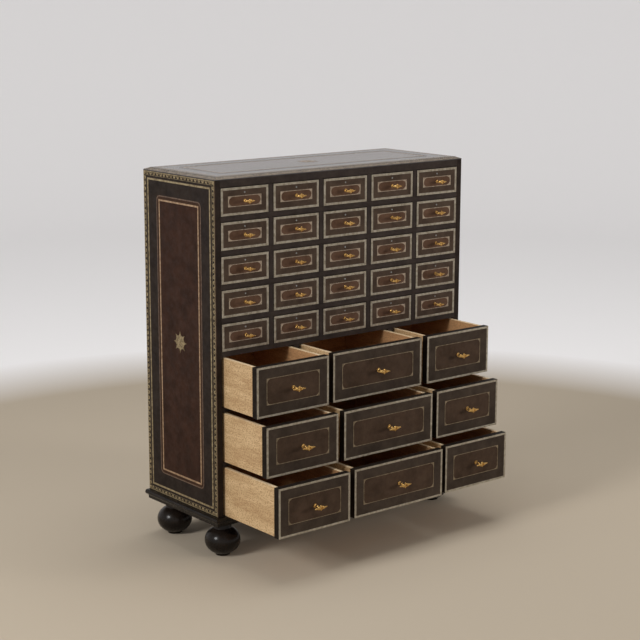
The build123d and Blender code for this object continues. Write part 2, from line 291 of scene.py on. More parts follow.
dullLine = foil('dull_line', srgb(116, 94, 78), srgb(80, 62, 50), metal=0.1)
goldBead = foil('gold_bead', srgb(168, 150, 113), srgb(102, 86, 60))
starMark = foil('star_mark', srgb(92, 64, 42), srgb(66, 44, 30), metal=0.1)
topGold = foil('top_gold', srgb(168, 146, 116), srgb(110, 90, 68), coat=1.0)
topDull = foil('top_dull', srgb(84, 70, 62), srgb(62, 50, 44), metal=0.1, coat=1.0)
silverStrip = foil('silver_strip', srgb(176, 166, 148), srgb(136, 125, 107), metal=0.2)
largeLine = foil('large_line', srgb(150, 133, 108), srgb(106, 91, 70))
inlayLine = foil('inlay_line', srgb(184, 166, 144), srgb(134, 116, 98), metal=0.15)
boxWood = wood('box_wood', srgb(220, 190, 146), srgb(158, 118, 76))
# Paler wood for the upward faces of the box walls' top edges: a painted highlight of the light falling on
# them from above
boxEdgeLit = wood('box_edge_lit', srgb(236, 214, 178), srgb(200, 166, 122))
# The inside wood is darker and redder than the outside: partly a smoother wood of its own, partly painted
# shade in the drawer's hollow. The wood across, on the back board and on the back of the front, is darker
# still, also as painted shade
boxInsideShaded = wood('box_inside_shaded', srgb(210, 164, 116), srgb(154, 110, 72), flecks=0.5)
insideAcrossShaded = wood('inside_across_shaded', srgb(196, 148, 100), srgb(138, 94, 58), along='X', flecks=0.5)
# Dark wood inside the case, on the sides' inner faces, the cores of the shelves and dividers, and the
# guides: its darkness is painted shade of the bays
bayShadeWood = wood('bay_shade_wood', srgb(66, 45, 31), srgb(36, 24, 17), rough=0.66, flecks=0.2)
backWood = wood('back_wood', srgb(84, 62, 46), srgb(50, 36, 28), along='Z', rough=0.66, flecks=0.2)
brassMetal = bareMetal('brass', brassFinish)
steelMetal = bareMetal('zinc_steel', steelFinish)
blackLacquer = lacquer('black_lacquer', lacquerFinish)
print('finishes ready')


# Mesh helpers. Each adds closed shapes to a bmesh, placed by a matrix

def tag(faces, slot, smooth=False):
    for face in faces:
        face.material_index = slot
        face.smooth = smooth


def facing(origin, normal):
    # a flat side seen from outside: x to the right, y up, z out of the surface
    sides = {
        '-Y': ((1, 0, 0), (0, 0, 1), (0, -1, 0)),
        '+Y': ((-1, 0, 0), (0, 0, 1), (0, 1, 0)),
        '-X': ((0, -1, 0), (0, 0, 1), (-1, 0, 0)),
        '+X': ((0, 1, 0), (0, 0, 1), (1, 0, 0)),
        '+Z': ((1, 0, 0), (0, 1, 0), (0, 0, 1)),
    }
    right, up, out = sides[normal]
    matrix = Matrix((right, up, out)).transposed().to_4x4()
    matrix.translation = origin
    return matrix


def addPrism(bm, outline, low, high, place, slot=0):
    # outline runs anticlockwise in x and y, and is drawn out along z
    ends = [[bm.verts.new(place @ Vector((x, y, z))) for x, y in outline] for z in (low, high)]
    count = len(outline)
    faces = [bm.faces.new(ends[1]), bm.faces.new(ends[0][::-1])]
    for i in range(count):
        j = (i + 1) % count
        faces.append(bm.faces.new((ends[0][i], ends[0][j], ends[1][j], ends[1][i])))
    tag(faces, slot)
    return faces


def addBlock(bm, low, high, place, slot=0, soft=0.0, steps=2):
    outline = [(low[0], low[1]), (high[0], low[1]), (high[0], high[1]), (low[0], high[1])]
    faces = addPrism(bm, outline, low[2], high[2], place, slot)
    if soft:
        edges = list(dict.fromkeys(edge for face in faces for edge in face.edges))  # each once, in order
        made = bmesh.ops.bevel(bm, geom=edges, offset=soft, segments=steps, affect='EDGES', profile=0.5)
        tag(made['faces'], slot)


def scaled(profile, base=0.0):
    # a profile in mm, as metres above a base
    return [(radius * mm, base + height * mm) for radius, height in profile]


def addTurned(bm, profile, steps, place, slot=0, smooth=True):
    # profile holds (radius, height) pairs from one pole to the other
    rings = []
    for radius, height in profile:
        count = steps if radius > 1e-6 else 1
        turns = [2 * math.pi * i / steps for i in range(count)]
        ring = [Vector((radius * math.cos(a), radius * math.sin(a), height)) for a in turns]
        rings.append([bm.verts.new(place @ point) for point in ring])
    faces = []
    for lower, upper in zip(rings, rings[1:]):
        for i in range(steps):
            j = (i + 1) % steps
            corners = [lower[i % len(lower)], lower[j % len(lower)]]
            corners += [upper[j % len(upper)], upper[i % len(upper)]]
            faces.append(bm.faces.new(list(dict.fromkeys(corners))))
    tag(faces, slot, smooth)


def rectangleLoop(halfWidth, halfHeight, radius=0.0, reach=0.0, steps=0, square=False, stretch=1.0):
    # a loop reach outside a rounded rectangle; square takes it out to the sharp corners, and
    # stretch makes the corners longer than they are high
    points = []
    roundX, roundY = radius * stretch, radius
    for quarter in range(4):
        signX, signY = ((1, 1), (-1, 1), (-1, -1), (1, -1))[quarter]
        centre = Vector((signX * (halfWidth - roundX), signY * (halfHeight - roundY)))
        for step in range(steps + 1):
            turn = (45 if steps == 0 else 90 * step / steps) * deg + quarter * math.pi / 2
            way = Vector((math.cos(turn), math.sin(turn)))
            if square or steps == 0:
                way /= max(abs(way.x), abs(way.y))
            points.append(centre + Vector((way.x * (roundX + reach), way.y * (roundY + reach))))
    return points


def circlePoints(radius, steps):
    turns = [2 * math.pi * i / steps for i in range(steps)]
    return [Vector((math.cos(a), math.sin(a))) * radius for a in turns]


def ringVertices(bm, loops, place):
    # loops hold (points, height)
    rings = []
    for points, height in loops:
        rings.append([bm.verts.new(place @ Vector((*point, height))) for point in points])
    return rings


def joinRings(bm, lower, upper):
    faces = []
    for i in range(len(lower)):
        j = (i + 1) % len(lower)
        faces.append(bm.faces.new((lower[i], lower[j], upper[j], upper[i])))
    return faces


def addHoop(bm, loops, place, slot):
    # a closed ring through loops that share one middle
    rings = ringVertices(bm, loops, place)
    for lower, upper in zip(rings, rings[1:] + rings[:1]):
        tag(joinRings(bm, lower, upper), slot)


def addRings(bm, loops, place, slots, caps=(True, True)):
    # each gap between two loops gets a slot, and the ends are closed
    rings = ringVertices(bm, loops, place)
    for lower, upper, slot in zip(rings, rings[1:], slots):
        tag(joinRings(bm, lower, upper), slot)
    if caps[0]:
        tag([bm.faces.new(rings[0][::-1])], slots[0])
    if caps[1]:
        tag([bm.faces.new(rings[-1])], slots[-1])
    return rings


def addStrip(bm, place, halfWidth, halfHeight, width, rise, slot=0, inner=0.0, outerRound=False,
             slope=0.0, sideWidth=None, stretch=1.0):
    # a closed band round a rectangle; halfWidth and halfHeight are its outer edge, inner the
    # radius of its inside corners, slope how fast the surface under it climbs inwards, and
    # sideWidth the width of its upright parts where that differs
    soft, sink = min(0.3 * rise, 0.15 * width), 0.5 * mm
    steps = 6 if inner else 0
    extra = (sideWidth or width) - width
    across, up = halfWidth - width - extra, halfHeight - width    # the inner edge
    section = [(0, -sink), (0, rise - soft), (soft, rise)]
    section += [(width - soft, rise), (width, rise - soft), (width, -sink)]
    loops = []
    for inset, height in section:
        outside = inset < width / 2
        square = not outerRound and outside
        loop = rectangleLoop(across, up, inner, width - inset, steps, square, stretch)
        if outside:
            loop = [Vector((p.x + math.copysign(extra, p.x), p.y)) for p in loop]
        loops.append((loop, height + slope * inset))
    addHoop(bm, loops, place, slot)


def addMesh(bm, mesh, place, slot=0):
    start = len(bm.faces)
    begin = len(bm.verts)
    bm.from_mesh(mesh)
    bm.verts.ensure_lookup_table()
    bm.faces.ensure_lookup_table()
    bmesh.ops.transform(bm, matrix=place, verts=bm.verts[begin:])
    tag(bm.faces[start:], slot)
    bpy.data.meshes.remove(mesh)


def meshOf(bm, name, materials):
    bmesh.ops.recalc_face_normals(bm, faces=bm.faces)
    mesh = bpy.data.meshes.new(name)
    bm.to_mesh(mesh)
    bm.free()
    for material in materials:
        mesh.materials.append(material)
    return mesh


def show(name, mesh, body, replaces=()):
    # one finished piece of the chest
    piece = bpy.data.objects.new(name, mesh)
    bpy.context.scene.collection.objects.link(piece)
    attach(piece, body)
    if replaces:
        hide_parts(*replaces)
    return piece


def solidsOf(node):
    # lowest and highest corner of each separate board in a node of the frame
    bm = bmesh.new()
    bm.from_mesh(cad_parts[node].data)
    bmesh.ops.remove_doubles(bm, verts=bm.verts, dist=0.001 * mm)
    left, boxes = set(bm.verts), []
    while left:
        todo = [left.pop()]
        points = []
        while todo:
            vertex = todo.pop()
            points.append(vertex.co)
            near = {edge.other_vert(vertex) for edge in vertex.link_edges} & left
            left -= near
            todo += near
        low = Vector([min(p[k] for p in points) for k in range(3)])
        high = Vector([max(p[k] for p in points) for k in range(3)])
        boxes.append((low, high))
    bm.free()
    return sorted(boxes, key=lambda pair: tuple(round(c, 5) for c in pair[0]))


# Geometry Nodes

def newTree(name, sizes):
    # a tree that takes geometry, the named sizes and a material
    tree = bpy.data.node_groups.new(name, 'GeometryNodeTree')
    tree.interface.new_socket(name='Geometry', in_out='INPUT', socket_type='NodeSocketGeometry')
    for size in sizes:
        tree.interface.new_socket(name=size, in_out='INPUT', socket_type='NodeSocketFloat')
    tree.interface.new_socket(name='Finish', in_out='INPUT', socket_type='NodeSocketMaterial')
    tree.interface.new_socket(name='Geometry', in_out='OUTPUT', socket_type='NodeSocketGeometry')
    return tree, put(tree, 'NodeGroupInput').outputs


def endTree(tree, given, geometry):
    # every tree ends in real geometry with its material
    real = put(tree, 'GeometryNodeRealizeInstances', {'Geometry': geometry})
    done = put(tree, 'GeometryNodeSetMaterial', {'Geometry': real.outputs[0], 'Material': given['Finish']})
    put(tree, 'NodeGroupOutput', {'Geometry': done.outputs[0]})


def vector(tree, x=0.0, y=0.0, z=0.0):
    return put(tree, 'ShaderNodeCombineXYZ', {'X': x, 'Y': y, 'Z': z}).outputs[0]


def vectorMath(tree, operation, first, second=None, output=0):
    node = put(tree, 'ShaderNodeVectorMath', {0: first}, operation=operation)
    if second is not None:
        tree.links.new(second, node.inputs[1])
    return node.outputs[output]


def endRun(tree, given, motif):
    # copies of a motif spaced along straight guides round a middle, its y towards the middle
    curve = put(tree, 'GeometryNodeMeshToCurve', {'Mesh': given['Geometry']})
    sockets = {'Curve': curve.outputs[0], 'Length': given['Pitch']}
    points = put(tree, 'GeometryNodeResampleCurve', sockets, mode='LENGTH')
    tangent = put(tree, 'GeometryNodeInputTangent').outputs[0]
    across = vectorMath(tree, 'CROSS_PRODUCT', vector(tree, z=1.0), tangent)
    place = put(tree, 'GeometryNodeInputPosition').outputs[0]
    side = calc(tree, 'SIGN', vectorMath(tree, 'DOT_PRODUCT', across, place, 'Value'))
    away = vectorMath(tree, 'MULTIPLY', across, vector(tree, side, side, side))
    turn = put(tree, 'FunctionNodeAlignRotationToVector', {'Vector': away}, axis='Y', pivot_axis='Z')
    back = put(tree, 'FunctionNodeRotateRotation', {
        'Rotation': turn.outputs[0], 'Rotate By': (0.0, 0.0, math.pi)}, rotation_space='LOCAL')
    copies = put(tree, 'GeometryNodeInstanceOnPoints', {
        'Points': points.outputs[0], 'Instance': motif, 'Rotation': back.outputs[0]})
    endTree(tree, given, copies.outputs[0])
    return tree


def arcadeTree():
    # a thick horseshoe arch with a small eye, its feet at the outer edge of the border
    tree, given = newTree('arcade_run', ['Pitch', 'Arch Radius', 'Band', 'Rise', 'Tilt'])
    middle = calc(tree, 'SUBTRACT', given['Arch Radius'], calc(tree, 'MULTIPLY', given['Band'], 0.5))
    arc = put(tree, 'GeometryNodeCurveArc', {
        'Resolution': 10, 'Radius': middle, 'Start Angle': -18 * deg, 'Sweep Angle': 216 * deg})
    twice = calc(tree, 'MULTIPLY', given['Rise'], 2.0)
    section = put(tree, 'GeometryNodeCurvePrimitiveCircle', {'Resolution': 6, 'Radius': 0.5})
    sockets = {'Geometry': section.outputs[0], 'Scale': vector(tree, given['Band'], twice, 1.0)}
    flat = put(tree, 'GeometryNodeTransform', sockets)
    arch = put(tree, 'GeometryNodeCurveToMesh', {
        'Curve': arc.outputs[0], 'Profile Curve': flat.outputs[0], 'Fill Caps': True})
    sockets = {'Geometry': arch.outputs[0], 'Rotation': vector(tree, given['Tilt'])}
    return endRun(tree, given, put(tree, 'GeometryNodeTransform', sockets).outputs[0])


def beadTree():
    # flat almond beads in a row
    tree, given = newTree('bead_run', ['Pitch', 'Bead Length', 'Bead Width', 'Rise'])
    ball = put(tree, 'GeometryNodeMeshIcoSphere', {'Radius': 1.0, 'Subdivisions': 1})
    half = vector(
        tree, calc(tree, 'MULTIPLY', given['Bead Length'], 0.5),
        calc(tree, 'MULTIPLY', given['Bead Width'], 0.5), given['Rise'])
    shaped = put(tree, 'GeometryNodeTransform', {'Geometry': ball.outputs[0], 'Scale': half})
    return endRun(tree, given, shaped.outputs[0])


def plinthTree():
    # the moulding's section swept round the front and the sides, with mitred corners
    sizes = ['Width', 'Depth', 'Height', 'Nose Radius', 'Nose Seat', 'Foot', 'Cove']
    tree, given = newTree('plinth_sweep', sizes)

    def half(value):
        return calc(tree, 'MULTIPLY', value, 0.5)

    def line(start, end):
        return put(tree, 'GeometryNodeCurvePrimitiveLine', {'Start': start, 'End': end}).outputs[0]

    def arc(start, middle, end, steps):
        sockets = {'Start': start, 'Middle': middle, 'End': end, 'Resolution': steps}
        return put(tree, 'GeometryNodeCurveArc', sockets, mode='POINTS').outputs[0]

    # Section: x outwards, y downwards from the top of the moulding
    height, radius, seat, foot = given['Height'], given['Nose Radius'], given['Nose Seat'], given['Foot']
    noseLow = calc(tree, 'MULTIPLY', radius, 2.0)
    coveX = calc(tree, 'SUBTRACT', half(calc(tree, 'ADD', foot, seat)), given['Cove'])
    footTop = calc(tree, 'SUBTRACT', height, foot)
    top, bottom = vector(tree, seat), vector(tree, foot, height)
    noseFoot, step = vector(tree, seat, noseLow), vector(tree, foot, footTop)
    noseTip = vector(tree, calc(tree, 'ADD', seat, radius), radius)
    coveMiddle = vector(tree, coveX, half(calc(tree, 'ADD', noseLow, footTop)))
    corner, heel = vector(tree), vector(tree, 0.0, height)
    parts = put(tree, 'GeometryNodeJoinGeometry')
    for part in (
        line(corner, top), arc(top, noseTip, noseFoot, 17), arc(noseFoot, coveMiddle, step, 9),
        line(step, bottom), line(bottom, heel), line(heel, corner),
    ):
        tree.links.new(part, parts.inputs[0])
    edges = put(tree, 'GeometryNodeCurveToMesh', {'Curve': parts.outputs[0]})
    sockets = {'Geometry': edges.outputs[0], 'Distance': 0.01 * mm}
    welded = put(tree, 'GeometryNodeMergeByDistance', sockets)
    section = put(tree, 'GeometryNodeMeshToCurve', {'Mesh': welded.outputs[0]})

    # Path: four points from the back of the left side to the back of the right one
    path = put(tree, 'GeometryNodeMeshLine', {'Count': 4})
    index = put(tree, 'GeometryNodeInputIndex').outputs[0]
    right = calc(tree, 'GREATER_THAN', index, 1.5)
    back = calc(tree, 'GREATER_THAN', calc(tree, 'ABSOLUTE', calc(tree, 'SUBTRACT', index, 1.5)), 1.0)
    x = calc(tree, 'MULTIPLY', calc(tree, 'SUBTRACT', right, 0.5), given['Width'])
    y = calc(tree, 'MULTIPLY', calc(tree, 'SUBTRACT', back, 0.5), given['Depth'])
    placed = put(tree, 'GeometryNodeSetPosition', {
        'Geometry': path.outputs[0], 'Position': vector(tree, x, y)})
    rail = put(tree, 'GeometryNodeMeshToCurve', {'Mesh': placed.outputs[0]})

    # The tangent at a mitre lies between two axes, and the sum of its parts is how far the mitre reaches
    tangent = put(tree, 'ShaderNodeSeparateXYZ', {0: put(tree, 'GeometryNodeInputTangent').outputs[0]})
    partX = calc(tree, 'ABSOLUTE', tangent.outputs[0])
    reach = calc(tree, 'ADD', partX, calc(tree, 'ABSOLUTE', tangent.outputs[1]))
    held = put(tree, 'GeometryNodeCaptureAttribute', {'Geometry': rail.outputs[0]})
    held.capture_items.new('VECTOR', 'Path')
    held.capture_items.new('FLOAT', 'Reach')
    tree.links.new(put(tree, 'GeometryNodeInputPosition').outputs[0], held.inputs['Path'])
    tree.links.new(reach, held.inputs['Reach'])
    upright = put(tree, 'GeometryNodeSetCurveNormal', {'Curve': held.outputs['Geometry']}, mode='Z_UP')
    swept = put(tree, 'GeometryNodeCurveToMesh', {
        'Curve': upright.outputs[0], 'Profile Curve': section.outputs[0], 'Fill Caps': True})
    place = put(tree, 'GeometryNodeInputPosition').outputs[0]
    offset = vectorMath(tree, 'SUBTRACT', place, held.outputs['Path'])
    scale = vector(tree, held.outputs['Reach'], held.outputs['Reach'], 1.0)
    mitred = vectorMath(tree, 'ADD', held.outputs['Path'], vectorMath(tree, 'MULTIPLY', offset, scale))
    final = put(tree, 'GeometryNodeSetPosition', {'Geometry': swept.outputs[0], 'Position': mitred})
    endTree(tree, given, final.outputs[0])
    return tree


def screwTree():
    # a countersunk head with a cross recess at each guide point, facing +z
    tree, given = newTree('screw_heads', ['Head Radius', 'Head Depth', 'Slot Width', 'Slot Depth'])
    sockets = {
        'Vertices': 24, 'Radius Top': given['Head Radius'], 'Depth': given['Head Depth'],
        'Radius Bottom': calc(tree, 'MULTIPLY', given['Head Radius'], 0.5)}
    head = put(tree, 'GeometryNodeMeshCone', sockets).outputs['Mesh']
    span = calc(tree, 'MULTIPLY', given['Head Radius'], 1.1)
    deep = calc(tree, 'MULTIPLY', given['Slot Depth'], 2.0)
    top = vector(tree, z=given['Head Depth'])
    wide = given['Slot Width']
    for size in (vector(tree, span, wide, deep), vector(tree, wide, span, deep)):
        bar = put(tree, 'GeometryNodeMeshCube', {'Size': size})
        raised = put(tree, 'GeometryNodeTransform', {'Geometry': bar.outputs[0], 'Translation': top})
        cut = put(tree, 'GeometryNodeMeshBoolean', {'Mesh 1': head}, operation='DIFFERENCE')
        tree.links.new(raised.outputs[0], cut.inputs['Mesh 2'])
        head = cut.outputs[0]
    drop = calc(tree, 'MULTIPLY', given['Head Depth'], -1.0)
    seated = put(tree, 'GeometryNodeTransform', {'Geometry': head, 'Translation': vector(tree, z=drop)})
    copies = put(tree, 'GeometryNodeInstanceOnPoints', {
        'Points': given['Geometry'], 'Instance': seated.outputs[0]})
    endTree(tree, given, copies.outputs[0])
    return tree


def runTree(tree, points, edges, values, material):
    # sets the tree's inputs on a guide mesh and returns the result as a plain mesh
    guide = bpy.data.meshes.new('guide')
    guide.from_pydata(points, edges, [])
    holder = bpy.data.objects.new('guide', guide)
    bpy.context.scene.collection.objects.link(holder)
    nodes = holder.modifiers.new('nodes', 'NODES')
    nodes.node_group = tree
    for item in tree.interface.items_tree:
        if item.in_out == 'INPUT' and item.name in values:
            nodes[item.identifier] = values[item.name]
        if item.in_out == 'INPUT' and item.name == 'Finish':
            nodes[item.identifier] = material
    graph = bpy.context.evaluated_depsgraph_get()
    mesh = bpy.data.meshes.new_from_object(holder.evaluated_get(graph))
    holder.modifiers.clear()
    bpy.data.objects.remove(holder)
    bpy.data.meshes.remove(guide)
    return mesh


def runRound(tree, halfWidth, halfHeight, gap, values, material):
    # a run along each side of a rectangle, ending gap short of its corners
    points, edges = [], []
    for signX, signY, alongX in ((1, 1, True), (1, -1, True), (1, 1, False), (-1, 1, False)):
        reachX, reachY = (halfWidth - gap, halfHeight) if alongX else (halfWidth, halfHeight - gap)
        flip = (-1, 1) if alongX else (1, -1)
        edges.append((len(points), len(points) + 1))
        points.append((signX * reachX, signY * reachY, 0.0))
        points.append((signX * reachX * flip[0], signY * reachY * flip[1], 0.0))
    return runTree(tree, points, edges, values, material)


arcade = arcadeTree()
beads = beadTree()
plinthSweep = plinthTree()
screwHeads = screwTree()
print('geometry node trees built')


# Camera, where the photographer stood

cameraPlace = {
    'lens': 90.05,            # mm, as is the sensor
    'sensor': 36,
    'at': (-2.92329, -3.50452, 1.57351),
    'azimuth': -39.1914 * deg,
    'elevation': 11.6923 * deg,
    'roll': 0.1387 * deg,
}


def makeCamera(look=cameraPlace):
    lens = bpy.data.cameras.new('camera')
    lens.lens = look['lens']
    lens.sensor_width = look['sensor']
    camera = bpy.data.objects.new('camera', lens)
    bpy.context.scene.collection.objects.link(camera)
    turn = Matrix.Rotation(look['azimuth'], 4, 'Z')
    turn = turn @ Matrix.Rotation(math.pi / 2 - look['elevation'], 4, 'X')
    camera.matrix_world = Matrix.Translation(look['at']) @ turn @ Matrix.Rotation(look['roll'], 4, 'Z')
    bpy.context.scene.camera = camera


makeCamera()


# Room: a round pale floor that turns up into a plain wall, and soft lamps

room = {
    'radius': 7.5,
    'bend': 1.6,
    'bendSteps': 12,
    'sides': 96,
    'wallHeight': 4.2,
    'floorColour': srgb(192, 178, 158),
    'wallColour': srgb(202, 200, 200),
    'floorFadeFrom': 1.9,     # distance from the chest where the floor's warm tone fades
    'floorFadeTo': 2.5,
    'worldColour': (0.86, 0.85, 0.83, 1.0),
    'worldStrength': 0.32,
    'wallGlow': 0.66,         # added to what the camera and reflections see of the wall
    'drop': 0.2 * mm,         # of the floor below the feet
}

# A lamp that isn't mirrored stays out of reflections: seen from behind, the second one would
# turn the polished top white
lamps = {
    'window': {'at': (-5.0, -0.3, 3.0), 'size': 1.7, 'power': 150, 'mirrored': True},
    'second': {'at': (3.3, -4.1, 1.5), 'size': 1.4, 'power': 100, 'mirrored': False},
    'overhead': {'at': (0.3, 0.3, 4.2), 'size': 2.6, 'power': 60, 'mirrored': True},
}
lampTarget = (0, 0, 0.6)


def makeRoom():
    bm = bmesh.new()
    profile = [(0.0, 0.0), (1.0, 0.0), (room['radius'] - room['bend'], 0.0)]
    for step in range(1, room['bendSteps'] + 1):
        turn = step / room['bendSteps'] * math.pi / 2
        out = room['radius'] - room['bend'] * (1 - math.sin(turn))
        profile.append((out, room['bend'] * (1 - math.cos(turn))))
    profile.append((room['radius'], room['wallHeight']))
    addTurned(bm, profile, room['sides'], Matrix())
    bmesh.ops.reverse_faces(bm, faces=bm.faces)
    material, tree, shader, place = newMaterial('room_paint', Roughness=0.9)
    parts = put(tree, 'ShaderNodeSeparateXYZ', {0: place})
    flat = put(tree, 'ShaderNodeCombineXYZ', {'X': parts.outputs[0], 'Y': parts.outputs[1]})
    away = put(tree, 'ShaderNodeVectorMath', {0: flat.outputs[0]}, operation='LENGTH').outputs['Value']
    fade = spread(tree, away, 0.0, 1.0, room['floorFadeFrom'], room['floorFadeTo'])
    tree.links.new(mix(tree, fade, room['floorColour'], room['wallColour']), shader.inputs['Base Color'])
    # The wall looks bright to the camera and in reflections, without lighting the chest
    rays = put(tree, 'ShaderNodeLightPath').outputs
    bounced = calc(tree, 'MAXIMUM', rays['Is Glossy Ray'], rays['Is Transmission Ray'])
    seen = calc(tree, 'MAXIMUM', rays['Is Camera Ray'], bounced)
    glow = calc(tree, 'MULTIPLY', calc(tree, 'MULTIPLY', seen, fade), room['wallGlow'])
    shader.inputs['Emission Color'].default_value = room['wallColour']
    tree.links.new(glow, shader.inputs['Emission Strength'])
    mesh = bpy.data.meshes.new('room')
    bm.to_mesh(mesh)
    bm.free()
    mesh.materials.append(material)
    floor = bpy.data.objects.new('room', mesh)
    bpy.context.scene.collection.objects.link(floor)
    floor.location.z = -room['drop']


def makeLights():
    world = bpy.data.worlds.new('studio')
    world.use_nodes = True
    background = world.node_tree.nodes['Background']
    background.inputs['Color'].default_value = room['worldColour']
    background.inputs['Strength'].default_value = room['worldStrength']
    bpy.context.scene.world = world
    for name, lamp in lamps.items():
        light = bpy.data.lights.new(name, 'AREA')
        light.shape = 'DISK'
        light.size = lamp['size']
        light.energy = lamp['power']
        holder = bpy.data.objects.new(name, light)
        bpy.context.scene.collection.objects.link(holder)
        holder.visible_glossy = lamp['mirrored']
        holder.location = lamp['at']
        aim = Vector(lampTarget) - Vector(lamp['at'])
        holder.rotation_mode = 'QUATERNION'
        holder.rotation_quaternion = aim.to_track_quat('-Z', 'Y')


makeRoom()
makeLights()
bpy.context.scene.view_settings.view_transform = 'Standard'
print('room and lamps ready')


# Places that several pieces share, read from the frame

sideLow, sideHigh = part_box('case_side_left')
capLow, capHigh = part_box('case_cap')
caseFront, caseBack = sideLow.y, sideHigh.y
caseBottom = sideLow.z
sideThickness = sideHigh.x - sideLow.x
innerHalf = -sideHigh.x
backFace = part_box('case_back_panel')[0].y
caseMiddle = (caseFront + caseBack) / 2


# Tooling that the sides and the top share: an arcaded border, lines, and a star in the middle

panelTooling = {
    'footLineAt': 1.6 * mm,       # of the line at the feet of the arches, from the edge
    'footLine': 2.6 * mm,
    'crownLineAt': 12.6 * mm,     # of the thin line beyond their crowns
    'crownLine': 0.9 * mm,
    'thinRise': 0.3 * mm,
    'archMiddle': 6.2 * mm,       # from the edge to the centre of the arches
    'archRadius': 5.7 * mm,
    'archBand': 4.2 * mm,
    'archRise': 0.6 * mm,
    'archPitch': 16 * mm,
    'archGap': 21 * mm,           # from a corner to the end of a run of arches
    'studAt': 7.5 * mm,           # of the stud in each corner; its profile is radius and height in mm
    'stud': [(0, -0.4), (5.2, -0.4), (5.2, 0.3), (3.9, 0.75), (2.6, 0.4), (1.82, 0.8), (0, 1.0)],
    'goldLineAt': 20.2 * mm,
    'goldLineWidth': 5.2 * mm,
    'dullLineAt': 64.9 * mm,
    'dullLineWidth': 3.2 * mm,
    'dullLineRound': 13 * mm,
    'tanLineAt': 76.1 * mm,
    'tanLineWidth': 4.8 * mm,
    'lineRise': 0.35 * mm,
}

starShape = {
    'body': 20.0 * mm,
    'tip': 31.0 * mm,
    'rays': 8,
    'rayFoot': 9.6 * mm,          # width of a ray where it leaves the disc
    'rayWaist': 3.6 * mm,         # and half way out
    'waistAt': 24.6 * mm,
    'rim': 17.4 * mm,
    'rimSection': [(-0.9, -0.2), (-0.6, 0.35), (0.6, 0.35), (0.9, -0.2)],   # in mm, out and up
    'arcs': 13.2 * mm,            # dark arcs on the disc
    'arcWidth': 0.9 * mm,
    'arcSpan': 26 * deg,
    'arcSteps': 5,
    'drops': 8.2 * mm,
    'drop': [(0, -0.6), (0.8, -0.4), (1.0, 0), (0.7, 0.4), (0, 0.6)],       # radius and height in mm
    'dropStretch': (2.2, 1.1, 0.5),
    'boss': [(0, -0.2), (3.2, -0.2), (3.2, 0.3), (2.4, 0.7), (1.2, 0.9), (0, 0.95)],
    'rise': 0.5 * mm,
}

cornerSigns = ((1, 1), (-1, 1), (1, -1), (-1, -1))


def addStar(bm, place, gold, dark, shape=starShape):
    # a disc with eight hollow-sided rays, and a rim, arcs, drops and a boss on it
    outline = []
    rays, body, rise = shape['rays'], shape['body'], shape['rise']
    halfFoot = shape['rayFoot'] / 2 / body
    gap = 2 * math.pi / rays - 2 * halfFoot
    for ray in range(rays):
        turn = 2 * math.pi * ray / rays
        way = Vector((math.cos(turn), math.sin(turn)))
        across = Vector((-way.y, way.x)) * shape['rayWaist'] / 2
        outline.append(Vector((math.cos(turn - halfFoot), math.sin(turn - halfFoot))) * body)
        outline += [way * shape['waistAt'] - across, way * shape['tip'], way * shape['waistAt'] + across]
        for step in range(4):
            angle = turn + halfFoot + gap * step / 4
            outline.append(Vector((math.cos(angle), math.sin(angle))) * body)
    addPrism(bm, outline, -0.4 * mm, rise, place, gold)
    rim = [(shape['rim'] + out * mm, rise + up * mm) for out, up in shape['rimSection']]
    addHoop(bm, [(circlePoints(radius, 32), height) for radius, height in rim], place, gold)
    steps = shape['arcSteps']
    for ray in range(rays):
        turn = 2 * math.pi * (ray + 0.5) / rays
        angles = [turn + (step / steps - 0.5) * shape['arcSpan'] for step in range(steps + 1)]
        near, far = shape['arcs'] - shape['arcWidth'] / 2, shape['arcs'] + shape['arcWidth'] / 2
        arc = [(far * math.cos(a), far * math.sin(a)) for a in angles]
        arc += [(near * math.cos(a), near * math.sin(a)) for a in angles[::-1]]
        addPrism(bm, arc, rise - 0.1 * mm, rise + 0.12 * mm, place, dark)
        shift = Matrix.Translation((shape['drops'], 0, rise)) @ Matrix.Diagonal((*shape['dropStretch'], 1))
        addTurned(bm, scaled(shape['drop']), 8, place @ Matrix.Rotation(turn, 4, 'Z') @ shift, dark)
    addTurned(bm, scaled(shape['boss'], rise), 20, place, gold)


def addPanelLines(bm, place, halfWidth, halfHeight, tool=panelTooling):
    # slots: 0 gold line, 1 tan line, 2 dull line
    def strip(inset, width, slot, **more):
        addStrip(bm, place, halfWidth - inset, halfHeight - inset, width, tool['lineRise'], slot, **more)
    strip(tool['goldLineAt'], tool['goldLineWidth'], 0)
    strip(tool['tanLineAt'], tool['tanLineWidth'], 1)
    strip(tool['dullLineAt'], tool['dullLineWidth'], 2, inner=tool['dullLineRound'], outerRound=True)


def addArcade(bm, place, halfWidth, halfHeight, slot, tool, gap, tilt=0.0):
    # arches round a rectangle, stopping gap short of its corners
    values = {
        'Pitch': tool['archPitch'], 'Arch Radius': tool['archRadius'], 'Band': tool['archBand'],
        'Rise': tool['archRise'], 'Tilt': tilt}
    middle = tool['archMiddle']
    run = runRound(arcade, halfWidth - middle, halfHeight - middle, gap - middle, values, goldBead)
    addMesh(bm, run, place, slot)


def panelBands(bm, face, slots, tool=panelTooling):
    # lets the border, the band and the field into a flat face, one inside the other
    goldMiddle = tool['goldLineAt'] + tool['goldLineWidth'] / 2
    dullMiddle = tool['dullLineAt'] + tool['dullLineWidth'] / 2
    tanMiddle = tool['tanLineAt'] + tool['tanLineWidth'] / 2
    steps = [goldMiddle, dullMiddle - goldMiddle, tanMiddle - dullMiddle]
    for step, slot in zip(steps, slots):
        made = bmesh.ops.inset_individual(bm, faces=[face], thickness=step, use_even_offset=True)
        tag(made['faces'], slot)
    face.material_index = slots[-1]


# Side boards, with a rabbet for the back

